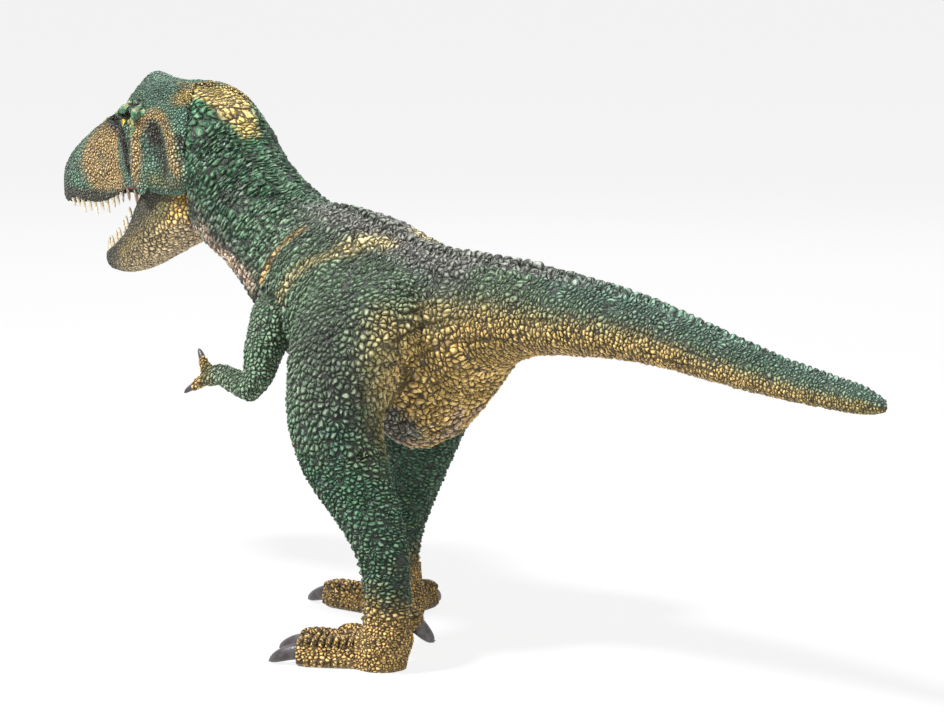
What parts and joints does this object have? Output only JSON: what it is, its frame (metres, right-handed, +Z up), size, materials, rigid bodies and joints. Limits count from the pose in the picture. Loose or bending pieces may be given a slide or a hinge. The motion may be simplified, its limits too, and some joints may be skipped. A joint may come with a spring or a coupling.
{
  "type": "toy dinosaur figure",
  "caption": "Standing toy theropod dinosaur in mid stride with small arms, a long tail and a hinged lower jaw that closes.",
  "frame": {"origin": "on the floor, under the middle of the figure's bounding box", "axes": "+Z up, +Y towards the tip of the tail, +X towards the figure's left side; the figure faces -Y"},
  "size_m": [0.076, 0.2676, 0.133],
  "materials": {
    "green_skin": "sculpted and hand painted, green over ochre with a black wash",
    "tail_skin": "sculpted scales, dark green above and ochre below",
    "leg_skin": "sculpted scales, green fading to yellow ochre at the feet",
    "head_skin": "fine pebbled scales, green with a tan cheek and snout",
    "jaw_skin": "ochre scales with a grey upper edge",
    "mouth_pink": "pink mouth lining with ivory teeth",
    "pin_steel": "plain drawn wire"
  },
  "bodies": {
    "figure": {"torso": "green_skin", "neck": "green_skin", "tail": "tail_skin", "head": "head_skin", "upper_mouth": "mouth_pink", "jaw_pin": "pin_steel", "left_leg": "leg_skin", "right_leg": "leg_skin", "left_arm": "green_skin", "right_arm": "green_skin"},
    "jaw": {"lower_jaw": "jaw_skin", "lower_mouth": "mouth_pink"}
  },
  "joints": [
    {"name": "jaw_hinge", "type": "hinge", "parent": "figure", "child": "jaw", "pos_m": [-0.00388, -0.0927, 0.1055], "axis": [1, 0, 0], "range_deg": [-22, 0]}
  ]
}
